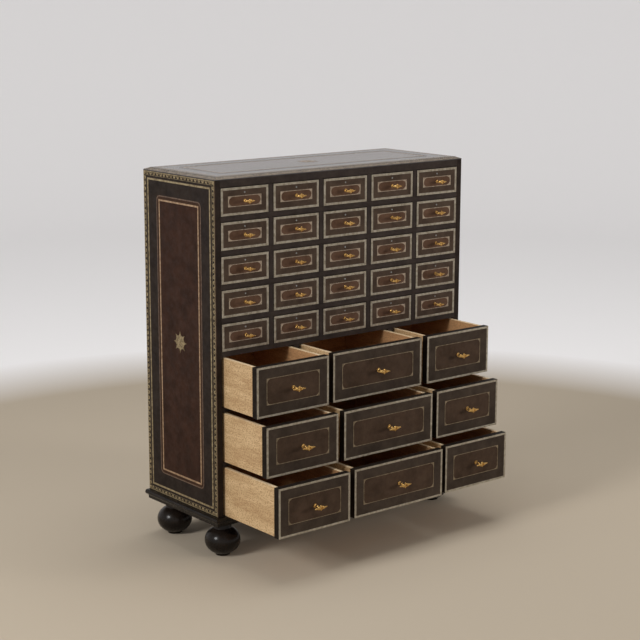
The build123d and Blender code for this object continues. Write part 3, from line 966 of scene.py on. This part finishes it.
sideBoard = {
    'edgeRound': 1.6 * mm,
    'roundSteps': 3,
    'innerEdge': 0.6 * mm,        # chamfer beside the drawers
}


def cornerArc(centre, radius, start, steps):
    angles = [start + 90 * deg * i / steps for i in range(steps + 1)]
    return [(centre[0] + radius * math.cos(a), centre[1] + radius * math.sin(a)) for a in angles]


def makeSide(name, sign, board=sideBoard):
    low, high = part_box(name)
    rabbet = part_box('case_back_panel')[1].x - innerHalf
    edge, bevel = board['edgeRound'], board['innerEdge']
    thick, depth = high.x - low.x, caseBack - caseFront
    # Outline seen from above, x from the outer face inwards and y from the front back
    outline = cornerArc((edge, edge), edge, 180 * deg, board['roundSteps'])
    outline += [(thick - bevel, 0), (thick, bevel), (thick, backFace - caseFront)]
    outline += [(thick - rabbet, backFace - caseFront), (thick - rabbet, depth)]
    outline += cornerArc((edge, depth - edge), edge, 90 * deg, board['roundSteps'])
    place = Matrix.Translation((sign * (innerHalf + thick), caseFront, 0))
    place = place @ Matrix.Diagonal((-sign, 1, 1, 1))
    bm = bmesh.new()
    faces = addPrism(bm, outline, low.z, high.z, place, 0)
    bmesh.ops.recalc_face_normals(bm, faces=bm.faces)
    outer = max(faces, key=lambda face: face.normal.x * sign * face.calc_area())
    inner = max(faces, key=lambda face: -face.normal.x * sign * face.calc_area())
    for face in faces:  # the narrow faces round the edges are worn
        if abs(face.normal.x) < 0.95 and face.calc_area() < edge * (high.z - low.z):
            face.material_index = 3
    # the face inside the case gets the dark bay wood, whose darkness is painted shade
    inner.material_index = 4
    # The tooled panel starts at the top of the plinth
    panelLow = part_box('plinth_moulding')[1].z
    cut = [outer, *outer.edges, *outer.verts]
    bmesh.ops.bisect_plane(bm, geom=cut, plane_co=(0, 0, panelLow), plane_no=(0, 0, 1))
    outer = max(bm.faces, key=lambda face: face.normal.x * sign * face.calc_area())
    panelBands(bm, outer, (1, 1, 5, 2))  # border, band, inner band, field
    materials = [borderLeather, bandLeather, fieldLeather, wornLeather, bayShadeWood, innerBand]
    show(name + '_board', meshOf(bm, name, materials), 'case', [name])

    tool = panelTooling
    bm = bmesh.new()
    middle = Vector((sign * (innerHalf + thick), caseMiddle, (panelLow + high.z) / 2))
    place = facing(middle, '+X' if sign > 0 else '-X')
    halfWidth, halfHeight = depth / 2, (high.z - panelLow) / 2
    addPanelLines(bm, place, halfWidth, halfHeight)
    for line in ('footLine', 'crownLine'):
        at = tool[line + 'At']
        addStrip(bm, place, halfWidth - at, halfHeight - at, tool[line], tool['thinRise'], 0)
    addArcade(bm, place, halfWidth, halfHeight, 3, tool, tool['archGap'])
    for signX, signY in cornerSigns:
        x = signX * (halfWidth - tool['studAt'])
        y = signY * (halfHeight - tool['studAt'])
        addTurned(bm, scaled(tool['stud']), 16, place @ Matrix.Translation((x, y, 0)), 3)
    addStar(bm, place, 3, 4)
    mesh = meshOf(bm, name + '_tooling', [goldLine, tanLine, dullLine, goldBead, starMark])
    show(name + '_tooling', mesh, 'case')


for name, sign in (('case_side_left', -1), ('case_side_right', 1)):
    makeSide(name, sign)
print('sides ready')


# Cap, with its tooled bevel

capShape = {
    'edgeRise': 1.5 * mm,
    'bevelRun': 16 * mm,
    'soft': 0.5 * mm,
    'outerLineAt': 1.8 * mm,      # along the bevel, from its lower edge
    'outerLineWidth': 2.2 * mm,
    'innerLineAt': 13.0 * mm,
    'innerLineWidth': 1.4 * mm,
    'panelShift': 12 * mm,        # the lines on the flat are this much nearer its edge than on a side
    'fieldShift': 11 * mm,
    'archMiddle': 7.0 * mm,
    'archRadius': 3.8 * mm,
    'archBand': 2.6 * mm,
    'archRise': 0.35 * mm,
    'archPitch': 8.6 * mm,
}


def makeCap(cap=capShape):
    halfWidth, halfDepth = (capHigh.x - capLow.x) / 2, (capHigh.y - capLow.y) / 2
    place = facing(Vector((0, caseMiddle, capLow.z)), '+Z')
    height = capHigh.z - capLow.z
    soft = cap['soft']
    slope = (height - cap['edgeRise']) / cap['bevelRun']

    def loop(inset):
        return rectangleLoop(halfWidth - inset, halfDepth - inset)

    topInset = cap['bevelRun'] + soft
    loops = [
        (loop(0), 0), (loop(0), cap['edgeRise'] - soft), (loop(soft), cap['edgeRise'] + slope * soft),
        (loop(cap['bevelRun'] - soft), height - slope * soft), (loop(topInset), height),
    ]
    slots = [0, 0, 0, 0]
    for line, shift, slot in (
        ('goldLineAt', 'panelShift', 0), ('dullLineAt', 'panelShift', 1),
        ('tanLineAt', 'panelShift', 0), ('tanLineAt', 'fieldShift', 2),
    ):
        loops.append((loop(cap['bevelRun'] + panelTooling[line] - cap[shift]), height))
        slots.append(slot)
    bm = bmesh.new()
    addRings(bm, loops, place, slots)
    mesh = meshOf(bm, 'case_cap', [topLeather, topLeather, topField])
    show('case_cap_board', mesh, 'case', ['case_cap'])

    bm = bmesh.new()
    base = place @ Matrix.Translation((0, 0, cap['edgeRise']))
    for line in ('outerLine', 'innerLine'):
        at, width = cap[line + 'At'], cap[line + 'Width']
        strip = base @ Matrix.Translation((0, 0, slope * at))
        addStrip(bm, strip, halfWidth - at, halfDepth - at, width, panelTooling['thinRise'], slope=slope)
    run = base @ Matrix.Translation((0, 0, slope * cap['archMiddle']))
    addArcade(bm, run, halfWidth, halfDepth, 3, cap, 2 * cap['archMiddle'], tilt=math.atan(slope))
    flat = place @ Matrix.Translation((0, 0, height))
    edgeX = halfWidth - cap['bevelRun'] + cap['panelShift']
    edgeY = halfDepth - cap['bevelRun'] + cap['panelShift']
    addPanelLines(bm, flat, edgeX, edgeY)
    addStar(bm, flat, 3, 2)
    mesh = meshOf(bm, 'case_cap_tooling', [topGold, topGold, topDull, topGold])
    show('case_cap_tooling', mesh, 'case')


makeCap()
print('cap ready')


# Boards that show between the drawers: leather round the front edge, and behind it wood painted dark as
# the shade inside the bays

railShape = {
    'round': 1.6 * mm,
    'roundSteps': 3,
    'leatherDepth': 12 * mm,
}


def addRail(bm, low, high, rail=railShape):
    # the outline is the board's section across its longer side, y from the front back
    wide = high.x - low.x > high.z - low.z
    thick = (high.z - low.z) if wide else (high.x - low.x)
    start, end = (low.x, high.x) if wide else (low.z, high.z)
    radius = rail['round']
    front = cornerArc((radius, radius), radius, 180 * deg, rail['roundSteps'])
    front += cornerArc((thick - radius, radius), radius, 270 * deg, rail['roundSteps'])
    cover = front + [(thick, rail['leatherDepth']), (0, rail['leatherDepth'])]
    depth = high.y - low.y
    core = [(0, rail['leatherDepth']), (thick, rail['leatherDepth']), (thick, depth), (0, depth)]
    if wide:  # local x is down from the top, y back, z along
        place = Matrix(((0, 0, -1, 0), (0, 1, 0, low.y), (-1, 0, 0, high.z), (0, 0, 0, 1)))
        start, end = -high.x, -low.x
    else:
        place = Matrix(((1, 0, 0, low.x), (0, 1, 0, low.y), (0, 0, 1, 0), (0, 0, 0, 1)))
    addPrism(bm, cover, start, end, place, 0)
    addPrism(bm, core, start, end, place, 1)


guideShape = {
    'dividerThickness': 21 * mm,
    'height': 12 * mm,
    'start': 22 * mm,             # behind the front of the case
    'soft': 0.6 * mm,
}


def addGuide(bm, low, high, guide=guideShape):
    addBlock(bm, low, high, Matrix(), 1, soft=guide['soft'], steps=1)


def makeRails(node, guide=guideShape):
    bm = bmesh.new()
    for low, high in solidsOf(node):
        low.x, high.x = max(low.x, -innerHalf), min(high.x, innerHalf)
        if low.y > caseFront + 1 * mm:  # a guide strip on the floor of a bay
            addGuide(bm, low, high)
            continue
        extra = (high.x - low.x - guide['dividerThickness']) / 2
        if node == 'large_drawer_dividers' and extra > 1 * mm:
            # a divider touches the guides at its foot, so the frame's mesh gives the three as one
            front, top = caseFront + guide['start'], low.z + guide['height']
            addGuide(bm, Vector((low.x, front, low.z)), Vector((low.x + extra, high.y, top)))
            addGuide(bm, Vector((high.x - extra, front, low.z)), Vector((high.x, high.y, top)))
            low.x, high.x = low.x + extra, high.x - extra
        addRail(bm, low, high)
    name = node + '_covered'
    show(name, meshOf(bm, name, [railLeather, bayShadeWood]), 'case', [node])


for node in (
    'small_drawer_shelves', 'small_drawer_dividers', 'large_drawer_shelves', 'large_drawer_dividers',
    'middle_shelf', 'case_top_board', 'case_base_board',
):
    makeRails(node)
print('shelves and dividers ready')


# Back panel and its screws

backPanel = {
    'screwHead': 3.5 * mm,
    'screwDepth': 2.2 * mm,
    'crossWidth': 1.0 * mm,
    'crossDepth': 1.2 * mm,
    'proud': 0.15 * mm,           # of the heads above the panel
}


def makeBack(back=backPanel):
    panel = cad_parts['case_back_panel']
    panel.data.materials.clear()
    panel.data.materials.append(backWood)
    place = facing(Vector((0, caseBack + back['proud'], 0)), '+Y')
    points = []
    for low, high in solidsOf('case_back_screws'):
        middle = (low + high) / 2
        points.append((-middle.x, middle.z, 0.0))
    values = {
        'Head Radius': back['screwHead'], 'Head Depth': back['screwDepth'],
        'Slot Width': back['crossWidth'], 'Slot Depth': back['crossDepth']}
    bm = bmesh.new()
    addMesh(bm, runTree(screwHeads, points, [], values, steelMetal), place)
    mesh = meshOf(bm, 'case_back_screws', [steelMetal])
    show('case_back_screw_heads', mesh, 'case', ['case_back_screws'])


makeBack()
print('back ready')


# Plinth moulding

plinthShape = {
    'noseRadius': 7 * mm,
    'noseSeat': 8 * mm,
    'foot': 3 * mm,
    'cove': 1.6 * mm,
}


def makePlinth(plinth=plinthShape):
    low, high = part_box('plinth_moulding')
    values = {
        'Width': 2 * (innerHalf + sideThickness), 'Depth': caseBack - caseFront, 'Height': high.z - low.z,
        'Nose Radius': plinth['noseRadius'], 'Nose Seat': plinth['noseSeat'],
        'Foot': plinth['foot'], 'Cove': plinth['cove'],
    }
    swept = runTree(plinthSweep, [(0, 0, 0)], [], values, blackLacquer)
    bm = bmesh.new()
    addMesh(bm, swept, Matrix.Translation((0, caseMiddle, high.z)))
    mesh = meshOf(bm, 'plinth_moulding', [blackLacquer])
    mesh.shade_smooth()
    mesh.set_sharp_from_angle(angle=30 * deg)
    show('plinth', mesh, 'case', ['plinth_moulding'])


makePlinth()


# Ball feet, turned

footShape = {
    'ballRadius': 51 * mm,
    'halfHeight': 42 * mm,
    'ballCentre': 43.5 * mm,
    'padRadius': 21 * mm,
    'neckRadius': 26 * mm,
    'neckStep': 0.4 * mm,         # from the ball in to the neck
    'soft': 1.2 * mm,
    'steps': 72,
    'arcSteps': 48,
}


def makeFoot(name, foot=footShape):
    low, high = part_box(name)
    radius, halfHeight, centre = foot['ballRadius'], foot['halfHeight'], foot['ballCentre']
    pad, neck, soft = foot['padRadius'], foot['neckRadius'], foot['soft']
    start = -math.acos(pad / radius)
    end = math.acos(neck / radius)
    profile = [(0, 0), (pad - soft, 0), (pad - 0.3 * soft, 0.3 * soft), (pad, soft)]
    for step in range(foot['arcSteps'] + 1):
        turn = start + (end - start) * step / foot['arcSteps']
        profile.append((radius * math.cos(turn), centre + halfHeight * math.sin(turn)))
    neck -= foot['neckStep']
    profile += [(neck, profile[-1][1] + 0.6 * mm), (neck, caseBottom), (0, caseBottom)]
    middle = (low + high) / 2
    bm = bmesh.new()
    addTurned(bm, profile, foot['steps'], Matrix.Translation((middle.x, middle.y, 0)))
    mesh = meshOf(bm, name, [blackLacquer])
    mesh.set_sharp_from_angle(angle=40 * deg)
    show(name + '_ball', mesh, 'case', [name])


for name in ('foot_front_left', 'foot_front_right', 'foot_back_left', 'foot_back_right'):
    makeFoot(name)
print('plinth and feet ready')


# Pulls: a brass bar with a boss, on a post with a rosette foot

# A small pull's sizes; a large one is stretched from them. Profiles are radius and height in mm
pullShape = {
    'barHalf': 17.5 * mm,
    'bossHeight': 5.6 * mm,
    'standoff': 23 * mm,
    'bar': [
        (0.0, 3.0), (3.5, 3.4), (4.0, 4.8), (4.0, 6.4), (3.5, 8.0), (2.7, 9.4), (2.0, 10.4),
        (2.2, 10.8), (2.4, 11.3), (2.1, 11.9), (1.7, 12.6), (1.8, 13.6), (1.7, 14.4), (1.2, 15.0),
        (1.5, 15.5), (1.4, 16.1), (0.8, 16.8), (0.0, 17.5)],
    'post': [
        (0.0, -1.0), (4.2, -1.0), (4.6, 0.5), (4.5, 1.1), (3.7, 1.5), (3.0, 1.7), (2.9, 2.3),
        (2.2, 2.8), (1.8, 4.2), (1.7, 7.5), (2.0, 8.8), (2.8, 9.8), (2.9, 10.6), (2.3, 11.4),
        (1.7, 12.4), (1.7, 15.5), (2.0, 17.6), (2.4, 19.2), (2.4, 21.5), (0.0, 21.8)],
    'boss': [
        (0.0, 19.9), (2.8, 20.0), (4.6, 20.6), (5.5, 21.6), (5.6, 22.7), (5.3, 23.6), (4.6, 24.0),
        (2.1, 24.4), (1.7, 24.3), (1.5, 23.6), (0.8, 23.5), (0.0, 23.9)],
    'tip': [(0, 4.2), (1.4, 5.0), (1.5, 5.8), (0.9, 6.5), (0, 7.2)],             # above and below the boss
    'screwHead': [(0, -2), (2.6, -1.9), (3.5, -0.8), (3.6, 0), (0, 0.5)],        # inside the drawer
    'petal': {'count': 10, 'at': (4.1, 0, 0.9), 'stretch': (1.3, 1.05, 0.8), 'rings': 5},
    'ray': {'count': 8, 'at': (4.0, 0, 24.1), 'stretch': (1.9, 0.8, 0.7), 'rings': 4},
}


def addBuds(bm, bud, even):
    # small balls in a circle, drawn out along their radius
    for index in range(bud['count']):
        turn = Matrix.Rotation(2 * math.pi * index / bud['count'], 4, 'Z')
        shift = Matrix.Translation([c * mm for c in bud['at']]) @ Matrix.Diagonal((*bud['stretch'], 1))
        addTurned(bm, ballProfile(1.0 * mm, bud['rings']), 8, even @ turn @ shift)


def pullMesh(name, barHalf, standoff, bossHeight, frontThickness, shape=pullShape):
    # face of the front at z = 0, z out of it, x along the bar
    bm = bmesh.new()
    long, thick = barHalf / shape['barHalf'], bossHeight / shape['bossHeight']
    deep = standoff / shape['standoff']
    # size also draws the bar out to its length, even keeps the post and the boss round
    size, even = Matrix.Diagonal((long, thick, deep, 1)), Matrix.Diagonal((thick, thick, deep, 1))
    addTurned(bm, scaled(shape['post']), 24, even)
    addBuds(bm, shape['petal'], even)
    addTurned(bm, scaled(shape['boss']), 28, even)
    addBuds(bm, shape['ray'], even)
    level = Matrix.Translation((0, 0, shape['standoff']))
    lying = Matrix.Rotation(math.pi / 2, 4, 'Y')
    for side in (0, 1):
        arm = level @ Matrix.Rotation(side * math.pi, 4, 'Z')
        addTurned(bm, scaled(shape['bar']), 18, size @ arm @ lying)
        leaf = level @ Matrix.Rotation((side + 0.5) * math.pi, 4, 'Z')
        addTurned(bm, scaled(shape['tip']), 10, even @ leaf @ lying)
    addTurned(bm, scaled(shape['screwHead'], -frontThickness), 24, Matrix(), 1)
    mesh = meshOf(bm, name, [brassMetal, steelMetal])
    mesh.set_sharp_from_angle(angle=50 * deg)
    return mesh


def ballProfile(radius, rings):
    turns = [-math.pi / 2 + math.pi * i / rings for i in range(rings + 1)]
    points = [(radius * math.cos(a), radius * math.sin(a)) for a in turns]
    return [(0, -radius)] + points[1:-1] + [(0, radius)]


# Drawers: leather front with a silver border and an inlaid field, and a pale wood box

drawerShape = {
    'small': {
        'front': 18 * mm, 'wall': 7 * mm, 'boxInset': 1 * mm,
        'borderIn': (0.9 * mm, 0.2 * mm), 'border': (6.2 * mm, 6.6 * mm),     # across, up
        'lineIn': (24.0 * mm, 23.3 * mm), 'line': (3.0 * mm, 1.7 * mm),
        'round': 11.5 * mm, 'stretch': 1.3, 'beadPitch': 6.6 * mm,
        'standoff': 23 * mm, 'barHalf': 17.5 * mm, 'boss': 5.6 * mm,
    },
    'large': {
        'front': 20 * mm, 'wall': 10 * mm, 'boxInset': 6 * mm,
        'borderIn': (0.3 * mm, 0.3 * mm), 'border': (6.2 * mm, 5.8 * mm),
        'lineIn': (33.2 * mm, 33.4 * mm), 'line': (1.7 * mm, 1.5 * mm),
        'round': 12.5 * mm, 'stretch': 1.0, 'beadPitch': 6.6 * mm,
        'standoff': 26 * mm, 'barHalf': 22.5 * mm, 'boss': 6.8 * mm,
    },
    'edgeRound': 0.8 * mm,
    'backSoft': 0.4 * mm,         # chamfer of the front's back edges
    'borderRise': 0.4 * mm,
    'lineRise': 0.3 * mm,
    'beadLength': 5.6 * mm,
    'beadWidth': 3.6 * mm,
    'beadRise': 0.75 * mm,
    'inlaySink': 0.3 * mm,
    'knob': [(0, 0), (2.1, 0), (2.1, 0.6), (1.2, 0.85), (0, 1.0)],    # in the border's corners, in mm
    'boxDrop': 1 * mm,
    'backDrop': 6 * mm,
    'bottomAt': 3 * mm,
    'bottomThick': 5 * mm,
    'groove': 4 * mm,
    'play': 0.15 * mm,            # round the bottom in its grooves
    'softEdge': 0.8 * mm,
    'studDrop': 15 * mm,
    'stud': [(0, -0.5), (2.5, -0.5), (2.5, 0.25), (2.0, 0.8), (1.125, 1.05), (0, 1.1)],
    'pullTurn': 4 * deg,          # no bar stands quite level
}


def frontMesh(name, kind, width, height, shape=drawerShape):
    size = shape[kind]
    edge = shape['edgeRound']
    fieldX, fieldY = (start + line / 2 for start, line in zip(size['lineIn'], size['line']))

    def loop(insetX, insetY=None):
        return rectangleLoop(width / 2 - insetX, height / 2 - (insetX if insetY is None else insetY))

    bm = bmesh.new()
    back, sink = shape['backSoft'], shape['inlaySink']
    loops = [
        (loop(back), -size['front']), (loop(0), -size['front'] + back), (loop(0), -edge),
        (loop(edge * 0.3), -edge * 0.3), (loop(edge), 0), (loop(fieldX, fieldY), 0),
        (loop(fieldX + sink, fieldY + sink), -sink),
    ]
    place = Matrix.Translation((0, height / 2, 0))
    rings = addRings(bm, loops, place, [1, 1, 1, 1, 0, 2], caps=(False, True))
    # the front's back face, inside the drawer, gets the wood across, darker partly as painted shade
    tag([bm.faces.new(rings[0][::-1])], 3)
    # the small fronts' leather is lighter than the large ones' as painted light
    cover, inlay = (frontLeatherLit, smallInlay) if kind == 'small' else (largeLeather, inlayLeather)
    return meshOf(bm, name, [cover, frontEdge, inlay, insideAcrossShaded])


def toolingMesh(name, kind, width, height, shape=drawerShape):
    size = shape[kind]
    bm = bmesh.new()
    place = Matrix.Translation((0, height / 2, 0))
    (inX, inY), (wideX, wideY) = size['borderIn'], size['border']
    addStrip(bm, place, width / 2 - inX, height / 2 - inY, wideY, shape['borderRise'], 0, sideWidth=wideX)
    lineX, lineY = width / 2 - size['lineIn'][0], height / 2 - size['lineIn'][1]
    addStrip(bm, place, lineX, lineY, size['line'][1], shape['lineRise'], 1, inner=size['round'],
             sideWidth=size['line'][0], stretch=size['stretch'])
    middleX, middleY = width / 2 - inX - wideX / 2, height / 2 - inY - wideY / 2
    values = {
        'Pitch': size['beadPitch'], 'Bead Length': shape['beadLength'], 'Bead Width': shape['beadWidth'],
        'Rise': shape['beadRise']}
    addMesh(bm, runRound(beads, middleX, middleY, size['beadPitch'], values, silverStrip), place, 0)
    for signX, signY in cornerSigns:
        at = Matrix.Translation((signX * middleX, signY * middleY, 0))
        addTurned(bm, scaled(shape['knob']), 8, place @ at)
    if kind == 'small':
        high = Matrix.Translation((0, height - shape['studDrop'], 0))
        addTurned(bm, scaled(shape['stud']), 16, high, 2)
    return meshOf(bm, name, [silverStrip, inlayLine if kind == 'small' else largeLine, steelMetal])


def boxMesh(name, kind, width, height, length, shape=drawerShape):
    # z = 0 is the face of the front, and the box runs back from it
    size = shape[kind]
    outer = width / 2 - size['boxInset']
    inner = outer - size['wall']
    top = height - shape['boxDrop']
    soft = shape['softEdge']
    low, high = shape['bottomAt'], shape['bottomAt'] + shape['bottomThick']
    deep = inner + shape['groove']
    left = [(-outer + soft, 0), (-inner, 0), (-inner, low), (-deep, low), (-deep, high), (-inner, high)]
    left += [(-inner, top - soft), (-inner - soft, top)]
    left += [(-outer + soft, top), (-outer, top - soft), (-outer, soft)]
    right = [(-x, y) for x, y in left[::-1]]
    bm = bmesh.new()
    for outline in (left, right):
        for face in addPrism(bm, outline, -length, -size['front'], Matrix(), 0):
            middle = face.calc_center_median()
            # faces inside the drawer get the inside wood, darker partly as painted shade
            if abs(middle.x) < inner + 0.01 * mm:
                face.material_index = 1
            # the upward top faces get the paler edge wood, a painted highlight
            elif middle.y > top - 0.6 * soft:
                face.material_index = 2
    # the back board gets the wood across, darker partly as painted shade
    backTop, backFront = top - shape['backDrop'], -length + size['wall']
    addBlock(bm, (-inner, high, -length), (inner, backTop, backFront), Matrix(), 3, soft=0.5 * mm)
    across, low, high = deep - shape['play'], low + shape['play'], high - shape['play']
    addBlock(bm, (-across, low, -length), (across, high, -size['front'] + 0.1 * mm), Matrix(), 1)
    return meshOf(bm, name, [boxWood, boxInsideShaded, boxEdgeLit, insideAcrossShaded])


def makeKit(kind, width, height, length):
    size = drawerShape[kind]
    return {
        'front': frontMesh(kind + '_front', kind, width, height),
        'tooling': toolingMesh(kind + '_tooling', kind, width, height),
        'box': boxMesh(kind + '_box', kind, width, height, length),
        'pull': pullMesh(kind + '_pull', size['barHalf'], size['standoff'], size['boss'], size['front']),
    }


kits = {}
tilts = random.Random(11)


def placeDrawer(kind, node, frontY, pullNode=None):
    low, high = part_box(node)
    width, height, length = high.x - low.x, high.z - low.z, high.y - frontY
    key = (kind, round(width * 1e4), round(height * 1e4), round(length * 1e4))
    if key not in kits:
        kits[key] = makeKit(kind, width, height, length)
    kit = kits[key]
    place = facing(Vector(((low.x + high.x) / 2, frontY, low.z)), '-Y')
    tilt = Matrix.Rotation(tilts.uniform(-1, 1) * drawerShape['pullTurn'], 4, 'Z')
    slots = {'front': 'case_leather', 'tooling': None, 'box': 'drawer_wood', 'pull': 'brass'}
    stands = {'front': [node], 'pull': [pullNode] if pullNode else []}
    for part, slot in slots.items():
        mesh = kit[part].copy()
        mesh.name = node + '_' + part
        if part == 'pull':
            mesh.transform(place @ Matrix.Translation((0, height / 2, 0)) @ tilt)
        else:
            mesh.transform(place)
        show(node + '_' + part, mesh, node, stands.get(part, []))


for row in range(1, 6):
    for column in range(1, 6):
        placeDrawer('small', f'small_drawer_r{row}c{column}', caseFront)
for row in range(1, 4):
    for column in range(1, 4):
        node = f'large_drawer_r{row}c{column}'
        placeDrawer('large', node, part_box(node)[0].y, f'large_pull_r{row}c{column}')
for kit in kits.values():
    for mesh in kit.values():
        bpy.data.meshes.remove(mesh)
print('drawers ready:', len(kits), 'sizes')
